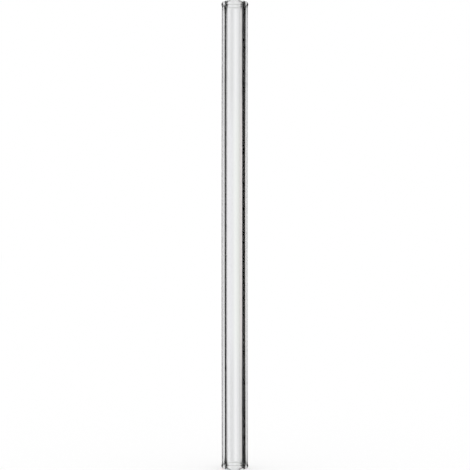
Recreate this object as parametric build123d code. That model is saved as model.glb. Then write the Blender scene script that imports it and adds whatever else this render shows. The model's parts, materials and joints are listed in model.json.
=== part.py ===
from build123d import *
import math
import os

# Heavy-walled glass tube, open at both ends, with melted round lips.
# Millimetres. The origin is on the axis at mid-length, and +Z runs along the tube.

# Driving dimensions
TUBE_LENGTH = 215.0   # end to end, over the crowns of both lips
TUBE_DIAMETER = 12.0  # outside, along the straight wall
WALL = 2.0            # straight wall between the outside and the bore
LIP_OUTWARD = 0.26    # how far the round lip stands out past the outer wall
LIP_INWARD = 0.26     # how far it closes in past the bore wall
OUTER_BLEND = 0.9     # radius of the hollow sweep from the outer wall into the lip
BORE_BLEND = 1.6      # radius of the hollow sweep from the bore wall into the lip

# Sizes that follow from them
OUTER_RADIUS = TUBE_DIAMETER / 2
BORE_RADIUS = OUTER_RADIUS - WALL
LIP_RADIUS = (LIP_OUTWARD + WALL + LIP_INWARD) / 2
LIP_CENTRE_R = OUTER_RADIUS + LIP_OUTWARD - LIP_RADIUS
LIP_CENTRE_Z = TUBE_LENGTH / 2 - LIP_RADIUS


def sweep_drop(proud, blend):
    """Height from the lip's centre down to where a sweep leaves the straight wall."""
    reach = LIP_RADIUS + blend
    return math.sqrt(reach**2 - (reach - proud) ** 2)


def touch_point(blend_centre, blend):
    """Point where a sweep meets the round lip, on the line between their centres."""
    dr = blend_centre[0] - LIP_CENTRE_R
    dz = blend_centre[1] - LIP_CENTRE_Z
    share = LIP_RADIUS / (LIP_RADIUS + blend)
    return (LIP_CENTRE_R + dr * share, LIP_CENTRE_Z + dz * share)


def on_arc(centre, start, end, radius):
    """Middle point of the short arc from start to end about a centre."""
    dr = (start[0] + end[0]) / 2 - centre[0]
    dz = (start[1] + end[1]) / 2 - centre[1]
    stretch = radius / math.hypot(dr, dz)
    return (centre[0] + dr * stretch, centre[1] + dz * stretch)


OUTER_WALL_END = LIP_CENTRE_Z - sweep_drop(LIP_OUTWARD, OUTER_BLEND)
BORE_WALL_END = LIP_CENTRE_Z - sweep_drop(LIP_INWARD, BORE_BLEND)


def lip_outline():
    """The upper end in section: outer sweep, round lip and bore sweep, as three arcs."""
    outer_start = (OUTER_RADIUS, OUTER_WALL_END)
    outer_centre = (OUTER_RADIUS + OUTER_BLEND, OUTER_WALL_END)
    outer_touch = touch_point(outer_centre, OUTER_BLEND)
    bore_start = (BORE_RADIUS, BORE_WALL_END)
    bore_centre = (BORE_RADIUS - BORE_BLEND, BORE_WALL_END)
    bore_touch = touch_point(bore_centre, BORE_BLEND)
    crown = (LIP_CENTRE_R, TUBE_LENGTH / 2)
    outer_middle = on_arc(outer_centre, outer_start, outer_touch, OUTER_BLEND)
    bore_middle = on_arc(bore_centre, bore_start, bore_touch, BORE_BLEND)
    return [
        (outer_start, outer_middle, outer_touch),
        (outer_touch, crown, bore_touch),
        (bore_touch, bore_middle, bore_start),
    ]


def glass_tube():
    """The whole tube: one section of wall with a lip at each end, turned about the axis."""
    edges = []
    for side in (1, -1):
        for arc in lip_outline():
            points = [(r, 0, side * z) for r, z in arc]
            edges.append(ThreePointArc(*points))
    for radius, wall_end in ((OUTER_RADIUS, OUTER_WALL_END), (BORE_RADIUS, BORE_WALL_END)):
        edges.append(Line((radius, 0, -wall_end), (radius, 0, wall_end)))
    section = make_face(edges)
    return revolve(section, Axis.Z)


os.makedirs("parts", exist_ok=True)
tube = glass_tube()
tube.label = "glass_tube"
export_step(tube, "parts/glass_tube.step")
print(f"outer wall straight for {2 * OUTER_WALL_END:.2f} mm, bore for {2 * BORE_WALL_END:.2f} mm")
print(f"lip radius {LIP_RADIUS:.3f}, over the lip {2 * (OUTER_RADIUS + LIP_OUTWARD):.2f} mm")
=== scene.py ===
"""Heavy-walled clear glass condenser tube with melted lips, standing in a small white studio."""
import json
import math

import bmesh
import bpy
from bpy.props import FloatProperty, FloatVectorProperty, IntProperty, PointerProperty
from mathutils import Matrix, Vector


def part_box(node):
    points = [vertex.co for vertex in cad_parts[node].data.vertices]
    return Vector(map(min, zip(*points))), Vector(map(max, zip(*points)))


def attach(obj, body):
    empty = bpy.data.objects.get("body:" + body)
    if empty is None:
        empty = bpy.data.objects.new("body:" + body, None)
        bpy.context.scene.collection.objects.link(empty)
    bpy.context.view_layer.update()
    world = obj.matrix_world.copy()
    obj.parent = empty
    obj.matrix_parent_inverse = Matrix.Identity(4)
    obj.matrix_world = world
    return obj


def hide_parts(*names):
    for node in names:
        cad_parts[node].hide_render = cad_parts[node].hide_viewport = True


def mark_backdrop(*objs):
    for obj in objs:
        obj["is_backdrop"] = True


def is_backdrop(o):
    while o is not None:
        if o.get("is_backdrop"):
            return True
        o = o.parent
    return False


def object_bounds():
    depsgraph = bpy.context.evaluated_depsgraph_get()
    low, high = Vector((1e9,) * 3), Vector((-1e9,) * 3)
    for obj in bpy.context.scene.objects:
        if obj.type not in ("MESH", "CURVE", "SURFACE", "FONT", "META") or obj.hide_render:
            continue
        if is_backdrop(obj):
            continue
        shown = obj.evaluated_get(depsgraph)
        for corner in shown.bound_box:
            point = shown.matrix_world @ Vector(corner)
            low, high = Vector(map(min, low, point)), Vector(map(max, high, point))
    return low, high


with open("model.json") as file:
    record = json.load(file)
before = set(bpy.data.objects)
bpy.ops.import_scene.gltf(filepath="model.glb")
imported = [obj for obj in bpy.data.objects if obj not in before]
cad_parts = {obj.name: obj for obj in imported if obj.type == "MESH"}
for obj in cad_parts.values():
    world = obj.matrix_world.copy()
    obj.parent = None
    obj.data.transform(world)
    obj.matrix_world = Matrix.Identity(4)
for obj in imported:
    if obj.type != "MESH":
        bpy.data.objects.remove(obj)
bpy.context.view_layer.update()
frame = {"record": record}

bl_info = {
    "name": "Glass Condenser Tube",
    "version": (1, 0, 0),
    "blender": (4, 5, 0),
    "location": "3D View > Sidebar > Condenser Tube",
    "description": "Makes a clear glass tube with melted lips, and a white studio round it",
    "category": "Add Mesh",
}

TUBE_LOW, TUBE_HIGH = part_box("glass_tube")
MOUNT_RADIUS = {m["name"]: m["dims"]["r_mm"] / 1000 for m in frame["record"]["mounts"]}
LIP_ACROSS = TUBE_HIGH.x - TUBE_LOW.x

MERGE_DISTANCE = 1e-7
PICK_DISTANCE = 1e-5
WALL_CUTS = 11          # cuts along each straight wall
SWEEP_STEPS = 6         # steps in each hollow sweep of the lip
LIP_STEPS = 40          # steps in the lip's round part
ROUND_SIDES = 96        # sides of the floor, and of the tent round its upright axis
TENT_LEVELS = 48        # rings of faces from the tent's foot to its top
SENSOR_WIDTH = 36
# The edge that fills the view's height lies this far in front of the axis, in tube widths.
NEAR_EDGE = 0.4
SIDE_SHIFT = 0.0004     # sets the tube a hair left of the middle of the view
CLIP_NEAR, CLIP_FAR = 0.01, 100
MIX_COLOURS, MIX_RESULT = (6, 7), 2  # the colour sockets of a Mix node
PANEL_TAB = "Condenser Tube"


# ---------------------------------------------------------------- sizes and colours


class TubeSizes(bpy.types.PropertyGroup):
    """Sizes of the glass tube, in metres."""

    length: FloatProperty(
        name="Length", description="End to end, over the crowns of both lips",
        default=TUBE_HIGH.z - TUBE_LOW.z, min=0.02, unit="LENGTH", subtype="DISTANCE")
    outer_radius: FloatProperty(
        name="Outer radius", description="Axis to the straight outer wall",
        default=MOUNT_RADIUS["clamp_grip"], min=0.001, unit="LENGTH", subtype="DISTANCE")
    bore_radius: FloatProperty(
        name="Bore radius", description="Axis to the straight bore wall",
        default=MOUNT_RADIUS["bore"], min=0.0005, unit="LENGTH", subtype="DISTANCE")
    lip_outward: FloatProperty(
        name="Lip outward", description="How far the melted lip stands out past the wall",
        default=LIP_ACROSS / 2 - MOUNT_RADIUS["clamp_grip"], min=0.00001, unit="LENGTH",
        subtype="DISTANCE")
    lip_inward: FloatProperty(
        name="Lip inward", description="How far the melted lip closes in past the bore",
        default=0.00026, min=0.00001, unit="LENGTH", subtype="DISTANCE")
    outer_blend: FloatProperty(
        name="Outer blend", description="Radius of the hollow sweep from outer wall to lip",
        default=0.0009, min=0.0001, unit="LENGTH", subtype="DISTANCE")
    bore_blend: FloatProperty(
        name="Bore blend", description="Radius of the hollow sweep from bore wall to lip",
        default=0.0016, min=0.0001, unit="LENGTH", subtype="DISTANCE")
    bow: FloatProperty(
        name="Bow", description="How far the tube's middle is out of line with its ends",
        default=0.00014, min=0, unit="LENGTH", subtype="DISTANCE")
    facets_round: IntProperty(
        name="Facets round", description="Steps in one turn about the axis",
        default=256, min=32, max=512)


class GlassFinish(bpy.types.PropertyGroup):
    """Colour and surface of the glass."""

    refractive_index: FloatProperty(
        name="Refractive index", description="How strongly the glass bends light",
        default=1.52, min=1, max=2)

    tint: FloatVectorProperty(
        name="Tint", description="Colour of light that has passed through the glass",
        default=(0.985, 0.99, 0.988), size=3, min=0, max=1, subtype="COLOR")
    draw_lines: FloatProperty(
        name="Draw lines", description="Depth of the faint lines left along the drawn tube",
        default=1.2e-5, min=0, unit="LENGTH", subtype="DISTANCE")


class StudioSizes(bpy.types.PropertyGroup):
    """Camera, floor and the tent of light that goes with the camera."""

    camera_distance: FloatProperty(
        name="Camera distance", description="Camera to the tube's axis, in tube lengths",
        default=3.1, min=1, subtype="FACTOR", soft_max=10)
    floor_radius: FloatProperty(
        name="Floor radius", description="Radius of the round white floor",
        default=6.0, min=0.2, unit="LENGTH", subtype="DISTANCE")
    floor_light: FloatProperty(
        name="Floor light", description="Share of the floor's white that no shadow dims",
        default=0.55, min=0, max=1, subtype="FACTOR")
    tent_radius: FloatProperty(
        name="Tent radius", description="Radius of the light tent",
        default=20.0, min=2, unit="LENGTH", subtype="DISTANCE")


# ---------------------------------------------------------------- modelling helpers


def start_clean():
    """Leaves edit mode and deselects everything, so that an operator acts on its own piece only."""
    if bpy.context.object and bpy.context.object.mode != "OBJECT":
        bpy.ops.object.mode_set(mode="OBJECT")
    bpy.ops.object.select_all(action="DESELECT")


def pick(test):
    """Selects the points of the mesh being edited whose place passes the test."""
    mesh = bpy.context.edit_object.data
    bpy.ops.mesh.select_all(action="DESELECT")
    points = bmesh.from_edit_mesh(mesh)
    for point in points.verts:
        point.select = test(point.co)
    points.select_flush_mode()
    bmesh.update_edit_mesh(mesh)


def near(x, z):
    """A test for the section's point at x, z."""
    return lambda co: abs(co.x - x) < PICK_DISTANCE and abs(co.z - z) < PICK_DISTANCE


def swing(centre_x, centre_z, degrees, steps):
    """Swings the picked point about a centre in the section, leaving an arc behind it."""
    bpy.ops.mesh.spin(
        steps=steps, angle=math.radians(degrees), center=(centre_x, 0, centre_z), axis=(0, 1, 0))


# ---------------------------------------------------------------- node helpers


def add_node(tree, kind, **settings):
    """Adds a node and sets its properties and, by name or index, its inputs."""
    node = tree.nodes.new(kind)
    inputs = settings.pop("inputs", {})
    for name, value in settings.items():
        setattr(node, name, value)
    for name, value in inputs.items():
        node.inputs[name].default_value = value
    return node


def as_colour(light):
    """A colour with its alpha, from a grey or a colour."""
    return (light, light, light, 1) if isinstance(light, float) else (*light, 1)


def set_ramp(node, stops):
    """Puts stops of (position, grey or colour) on a Color Ramp node."""
    elements = node.color_ramp.elements
    while len(elements) > 1:
        elements.remove(elements[0])
    elements[0].position, elements[0].color = stops[0][0], as_colour(stops[0][1])
    for position, light in stops[1:]:
        elements.new(position).color = as_colour(light)


# ---------------------------------------------------------------- glass


def draw_line_group():
    """Node group: height of the faint lines that drawing leaves along a glass tube."""
    group = bpy.data.node_groups.new("draw_lines", "ShaderNodeTree")
    group.interface.new_socket("Lines Across", in_out="INPUT", socket_type="NodeSocketFloat")
    group.interface.new_socket("Lines Along", in_out="INPUT", socket_type="NodeSocketFloat")
    group.interface.new_socket("Height", in_out="OUTPUT", socket_type="NodeSocketFloat")
    source = add_node(group, "NodeGroupInput")
    result = add_node(group, "NodeGroupOutput")
    place = add_node(group, "ShaderNodeTexCoord")
    scale = add_node(group, "ShaderNodeCombineXYZ")
    stretch = add_node(group, "ShaderNodeVectorMath", operation="MULTIPLY")
    grain = add_node(group, "ShaderNodeTexNoise", inputs={"Scale": 1.0, "Detail": 1.0})
    link = group.links.new
    link(source.outputs["Lines Across"], scale.inputs["X"])
    link(source.outputs["Lines Across"], scale.inputs["Y"])
    link(source.outputs["Lines Along"], scale.inputs["Z"])
    link(place.outputs["Object"], stretch.inputs[0])
    link(scale.outputs["Vector"], stretch.inputs[1])
    link(stretch.outputs["Vector"], grain.inputs["Vector"])
    link(grain.outputs["Fac"], result.inputs["Height"])
    return group


def clear_glass(finish):
    """Clear glass: smooth, hardly tinted, with faint draw lines in its surface."""
    material = bpy.data.materials.new("clear_glass")
    material.use_nodes = True
    tree = material.node_tree
    glass = tree.nodes["Principled BSDF"]
    glass.inputs["Base Color"].default_value = (*finish.tint, 1)
    glass.inputs["Roughness"].default_value = 0.0
    glass.inputs["Metallic"].default_value = 0.0
    glass.inputs["IOR"].default_value = finish.refractive_index
    glass.inputs["Transmission Weight"].default_value = 1.0
    lines = add_node(tree, "ShaderNodeGroup", node_tree=draw_line_group(),
                     inputs={"Lines Across": 1400.0, "Lines Along": 4.0})
    bump = add_node(tree, "ShaderNodeBump", inputs={"Strength": 1.0, "Distance": finish.draw_lines})
    tree.links.new(lines.outputs["Height"], bump.inputs["Height"])
    tree.links.new(bump.outputs["Normal"], glass.inputs["Normal"])
    return material


class CONDENSER_OT_glass_tube(bpy.types.Operator):
    """Models the tube: the upper half of its wall in section, mirrored and turned about the axis"""
    bl_idname = "condenser.glass_tube"
    bl_label = "Glass Tube"

    def execute(self, context):
        size = context.scene.tube_sizes
        lip_radius = (size.outer_radius + size.lip_outward - size.bore_radius + size.lip_inward) / 2
        lip_r = size.outer_radius + size.lip_outward - lip_radius
        lip_z = size.length / 2 - lip_radius
        outer_turn = math.acos(1 - size.lip_outward / (lip_radius + size.outer_blend))
        bore_turn = math.acos(1 - size.lip_inward / (lip_radius + size.bore_blend))
        outer_end = lip_z - (lip_radius + size.outer_blend) * math.sin(outer_turn)
        bore_end = lip_z - (lip_radius + size.bore_blend) * math.sin(bore_turn)

        start_clean()
        bpy.ops.mesh.primitive_plane_add(size=1, rotation=(math.pi / 2, 0, 0))
        tube = context.object
        tube.name = tube.data.name = "condenser_tube"
        bpy.ops.object.transform_apply(location=False, rotation=True, scale=False)
        bpy.ops.object.mode_set(mode="EDIT")
        bpy.ops.mesh.select_mode(type="VERT")
        bpy.ops.mesh.select_all(action="SELECT")
        bpy.ops.transform.resize(value=(size.outer_radius - size.bore_radius, 1, bore_end))
        bpy.ops.transform.translate(
            value=((size.outer_radius + size.bore_radius) / 2, 0, bore_end / 2))
        pick(near(size.outer_radius, bore_end))
        bpy.ops.transform.translate(value=(0, 0, outer_end - bore_end))

        # The plane's face and short sides go; its long sides are the two walls, cut into lengths.
        bpy.ops.mesh.select_all(action="SELECT")
        bpy.ops.mesh.delete(type="ONLY_FACE")
        for test in (lambda co: co.z > size.length / 4, lambda co: co.z < size.length / 4):
            pick(test)
            bpy.ops.mesh.delete(type="EDGE")
        bpy.ops.mesh.select_all(action="SELECT")
        bpy.ops.mesh.subdivide(number_cuts=WALL_CUTS)

        # Three swings of the outer wall's end point draw the lip, down to the bore wall.
        pick(near(size.outer_radius, outer_end))
        swing(size.outer_radius + size.outer_blend, outer_end, -math.degrees(outer_turn), SWEEP_STEPS)
        swing(lip_r, lip_z, 180 + math.degrees(outer_turn + bore_turn), LIP_STEPS)
        swing(size.bore_radius - size.bore_blend, bore_end, -math.degrees(bore_turn), SWEEP_STEPS)
        bpy.ops.mesh.select_all(action="SELECT")
        bpy.ops.mesh.remove_doubles(threshold=MERGE_DISTANCE)
        bpy.ops.mesh.duplicate()
        bpy.ops.transform.resize(value=(1, 1, -1), center_override=(0, 0, 0))
        bpy.ops.mesh.select_all(action="SELECT")
        bpy.ops.mesh.remove_doubles(threshold=MERGE_DISTANCE)

        bpy.ops.mesh.spin(steps=size.facets_round, angle=math.tau, center=(0, 0, 0), axis=(0, 0, 1))
        bpy.ops.mesh.select_all(action="SELECT")
        bpy.ops.mesh.remove_doubles(threshold=MERGE_DISTANCE)
        bpy.ops.mesh.normals_make_consistent(inside=False)
        bpy.ops.object.mode_set(mode="OBJECT")
        bpy.ops.object.shade_smooth()

        # Drawn tube is never quite straight: it bows by a hair, half of it each side of the axis.
        # An arc of the tube's length turns by eight times its rise over that length.
        bpy.ops.object.modifier_add(type="SIMPLE_DEFORM")
        bend = tube.modifiers[-1]
        bend.deform_method, bend.deform_axis = "BEND", "Y"
        bend.angle = 8 * size.bow / size.length
        bpy.ops.object.modifier_apply(modifier=bend.name)
        bpy.ops.transform.translate(value=(-size.bow / 2, 0, 0))
        bpy.ops.object.transform_apply(location=True, rotation=False, scale=False)

        tube.data.materials.append(clear_glass(context.scene.glass_finish))
        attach(tube, "root")
        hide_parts("glass_tube")
        return {"FINISHED"}


# ---------------------------------------------------------------- studio


# The tent's light by bearing in degrees, 0 straight behind the tube and + to the right, each with
# a grey or a colour.
FRONT_LEFT = ((-180, 0.6), (-140, 0.6), (-132, 0.85), (-116, 0.85), (-106, 0.0))
LEFT_CARD = ((-44, 0.0), (-41, 1.0), (-34, 1.0), (-32, 0.0), (-28, 0.0))
FRONT_RIGHT = ((106, 0.0), (124, 0.7), (142, 1.0), (180, 0.6))
# Each ring holds from its angle above and below the horizon up to the next ring's.
TENT_RINGS = (
    (0, (
        *FRONT_LEFT, *LEFT_CARD, (-26, (0.985, 0.97, 1.0)), (-13, (0.985, 0.97, 1.0)),
        (-7, (0.85, 0.845, 0.875)), (-3, (0.85, 0.845, 0.86)), (1, (0.97, 0.98, 0.965)),
        (8, (0.735, 0.745, 0.715)), (15, (0.8, 0.745, 0.735)), (19, (1.0, 0.925, 0.92)),
        (23.5, (1.0, 0.925, 0.92)), (24.5, 0.0), *FRONT_RIGHT,
    )),
    (5, (
        *FRONT_LEFT, *LEFT_CARD, (-26, (0.985, 0.98, 1.0)), (-13, (0.985, 0.98, 1.0)),
        (-7, (0.765, 0.76, 0.77)), (-3, (0.765, 0.76, 0.77)), (1, (0.98, 0.975, 0.985)),
        (8, (0.7, 0.695, 0.705)), (15, (0.72, 0.695, 0.69)), (19, (0.95, 0.9, 0.895)),
        (21, (0.95, 0.9, 0.895)), (22, 0.0), *FRONT_RIGHT,
    )),
    (12, (
        (-180, 0.5), (-135, 0.6), (-125, 0.15), (-100, 0.3), (-85, 0.0), (-26, 0.0), (-22, 0.85),
        (-8, 0.85), (2, 0.82), (10, 0.65), (14, 0.0), (70, 0.0), (95, 0.3), (105, 0.9),
        (130, 1.0), (138, 0.0), (152, 0.0), (165, 0.5), (180, 0.5),
    )),
    (24, (
        (-180, 0.45), (-135, 0.7), (-125, 0.05), (-22, 0.0), (-18, 0.6), (-8, 0.55), (10, 0.5),
        (14, 0.0), (70, 0.0), (90, 0.4), (105, 0.95), (130, 1.0), (138, 0.0), (180, 0.5),
    )),
    (32, (
        (-180, 0.45), (-160, 0.5), (-135, 0.75), (-125, 0.0), (-48, 0.0), (-45, 0.9), (-41, 0.9),
        (-38, 0.0), (-26, 0.0), (-19, 1.0), (0, 0.9), (14, 0.9), (17, 0.0), (28, 0.0),
        (33, 0.9), (40, 0.9), (43, 0.0), (70, 0.0), (85, 0.8), (130, 1.0), (140, 0.1), (180, 0.5),
    )),
    (42, (
        (-180, 0.25), (-130, 0.4), (-115, 0.05), (-48, 0.05), (-44, 1.0), (-35, 1.0), (-31, 0.2),
        (-25, 0.3), (-18, 1.0), (130, 0.9), (138, 0.15), (180, 0.25),
    )),
)
RING_EDGE = 1.0  # degrees over which one ring gives way to the next, each side of its angle


def tent_material():
    """Cloth lit from outside, with black flags down both sides: glass shows it, the camera doesn't."""
    material = bpy.data.materials.new("light_tent")
    material.use_nodes = True
    tree = material.node_tree
    tree.nodes.clear()
    link = tree.links.new
    place = add_node(tree, "ShaderNodeTexCoord")
    way = add_node(tree, "ShaderNodeVectorMath", operation="NORMALIZE")
    parts = add_node(tree, "ShaderNodeSeparateXYZ")
    bearing = add_node(tree, "ShaderNodeMath", operation="ARCTAN2")
    bearing_share = add_node(tree, "ShaderNodeMapRange",
                             inputs={"From Min": -math.pi, "From Max": math.pi})
    tilt = add_node(tree, "ShaderNodeMath", operation="ARCSINE")
    tilt_either_way = add_node(tree, "ShaderNodeMath", operation="ABSOLUTE")
    link(place.outputs["Object"], way.inputs[0])
    link(way.outputs["Vector"], parts.inputs["Vector"])
    link(parts.outputs["X"], bearing.inputs[0])
    link(parts.outputs["Y"], bearing.inputs[1])
    link(bearing.outputs["Value"], bearing_share.inputs["Value"])
    link(parts.outputs["Z"], tilt.inputs[0])
    link(tilt.outputs["Value"], tilt_either_way.inputs[0])

    light_so_far = None
    for start, stops in TENT_RINGS:
        ring = add_node(tree, "ShaderNodeValToRGB")
        set_ramp(ring, [((degrees + 180) / 360, light) for degrees, light in stops])
        link(bearing_share.outputs["Result"], ring.inputs["Fac"])
        if light_so_far:
            beyond = add_node(tree, "ShaderNodeMapRange", inputs={
                "From Min": math.radians(start - RING_EDGE),
                "From Max": math.radians(start + RING_EDGE)})
            # The share beyond the edge swaps the inner ring for this one.
            swap = add_node(tree, "ShaderNodeMix", data_type="RGBA")
            link(tilt_either_way.outputs["Value"], beyond.inputs["Value"])
            link(beyond.outputs["Result"], swap.inputs["Factor"])
            link(light_so_far, swap.inputs[MIX_COLOURS[0]])
            link(ring.outputs["Color"], swap.inputs[MIX_COLOURS[1]])
            light_so_far = swap.outputs[MIX_RESULT]
        else:
            light_so_far = ring.outputs["Color"]

    light = add_node(tree, "ShaderNodeEmission")
    output = add_node(tree, "ShaderNodeOutputMaterial")
    link(light_so_far, light.inputs["Color"])
    link(light.outputs["Emission"], output.inputs["Surface"])
    material.cycles.emission_sampling = "NONE"
    return material


def floor_material(own_light):
    """White floor whose own light, for the camera only, thins the shadow of what stands on it."""
    material = bpy.data.materials.new("white_floor")
    material.use_nodes = True
    tree = material.node_tree
    surface = tree.nodes["Principled BSDF"]
    surface.inputs["Base Color"].default_value = (1.0, 1.0, 1.0, 1)
    surface.inputs["Roughness"].default_value = 1.0
    surface.inputs["Specular IOR Level"].default_value = 0.0
    glow = add_node(tree, "ShaderNodeEmission", inputs={"Color": (1.0, 1.0, 1.0, 1)})
    rays = add_node(tree, "ShaderNodeLightPath")
    share = add_node(tree, "ShaderNodeMath", operation="MULTIPLY")
    share.inputs[1].default_value = own_light
    blend = add_node(tree, "ShaderNodeMixShader")
    link = tree.links.new
    link(rays.outputs["Is Camera Ray"], share.inputs[0])
    link(share.outputs["Value"], blend.inputs["Fac"])
    link(surface.outputs["BSDF"], blend.inputs[1])
    link(glow.outputs["Emission"], blend.inputs[2])
    link(blend.outputs["Shader"], tree.nodes["Material Output"].inputs["Surface"])
    return material


class CONDENSER_OT_studio(bpy.types.Operator):
    """Sets up the white world, the floor, the camera and the light tent that goes with it"""
    bl_idname = "condenser.studio"
    bl_label = "Studio"

    def execute(self, context):
        scene = context.scene
        size = scene.studio_sizes
        low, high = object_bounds()
        middle = (low + high) / 2
        length = high.z - low.z
        distance = size.camera_distance * length

        world = bpy.data.worlds.new("white_world")
        world.use_nodes = True
        world.node_tree.nodes["Background"].inputs["Color"].default_value = (1, 1, 1, 1)
        world.node_tree.nodes["Background"].inputs["Strength"].default_value = 1.0
        scene.world = world
        scene.view_settings.view_transform = "Standard"

        start_clean()
        bpy.ops.mesh.primitive_circle_add(
            vertices=ROUND_SIDES, radius=size.floor_radius, fill_type="NGON", location=(0, 0, low.z))
        floor = context.object
        floor.name = floor.data.name = "floor"
        floor.data.materials.append(floor_material(size.floor_light))
        floor.visible_glossy = False
        floor.visible_transmission = False

        start_clean()
        bpy.ops.object.camera_add(
            location=(middle.x, middle.y - distance, middle.z), rotation=(math.pi / 2, 0, 0))
        camera = context.object
        camera.name = "camera"
        lens = camera.data
        lens.sensor_width = SENSOR_WIDTH
        lens.lens = SENSOR_WIDTH * (distance - (high.x - low.x) * NEAR_EDGE) / length
        lens.shift_x = SIDE_SHIFT
        lens.clip_start, lens.clip_end = CLIP_NEAR, CLIP_FAR
        scene.camera = camera

        start_clean()
        bpy.ops.mesh.primitive_uv_sphere_add(
            segments=ROUND_SIDES, ring_count=TENT_LEVELS, radius=size.tent_radius, location=middle)
        tent = context.object
        tent.name = tent.data.name = "light_tent"
        bpy.ops.object.shade_smooth()
        tent.data.materials.append(tent_material())
        tent.visible_camera = False
        tent.visible_diffuse = False
        tent.visible_shadow = False
        context.view_layer.update()
        tent.parent = camera
        tent.matrix_parent_inverse = camera.matrix_world.inverted()

        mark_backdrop(floor, tent)
        return {"FINISHED"}


# ---------------------------------------------------------------- panel and registration


class CONDENSER_PT_panel(bpy.types.Panel):
    """Lists the sizes and the steps that make the condenser tube"""
    bl_idname = "CONDENSER_PT_panel"
    bl_label = "Condenser Tube"
    bl_space_type = "VIEW_3D"
    bl_region_type = "UI"
    bl_category = PANEL_TAB

    def draw(self, context):
        for name in ("tube_sizes", "glass_finish", "studio_sizes"):
            group = getattr(context.scene, name)
            box = self.layout.box()
            for setting in group.bl_rna.properties.keys():
                if setting not in ("rna_type", "name"):
                    box.prop(group, setting)
        self.layout.operator(CONDENSER_OT_glass_tube.bl_idname)
        self.layout.operator(CONDENSER_OT_studio.bl_idname)


CLASSES = (TubeSizes, GlassFinish, StudioSizes, CONDENSER_OT_glass_tube, CONDENSER_OT_studio,
           CONDENSER_PT_panel)


def register():
    for cls in CLASSES:
        bpy.utils.register_class(cls)
    bpy.types.Scene.tube_sizes = PointerProperty(type=TubeSizes)
    bpy.types.Scene.glass_finish = PointerProperty(type=GlassFinish)
    bpy.types.Scene.studio_sizes = PointerProperty(type=StudioSizes)


def unregister():
    for name in ("studio_sizes", "glass_finish", "tube_sizes"):
        delattr(bpy.types.Scene, name)
    for cls in reversed(CLASSES):
        bpy.utils.unregister_class(cls)


def main():
    register()
    bpy.ops.condenser.glass_tube()
    bpy.ops.condenser.studio()


if __name__ == "__main__":
    main()
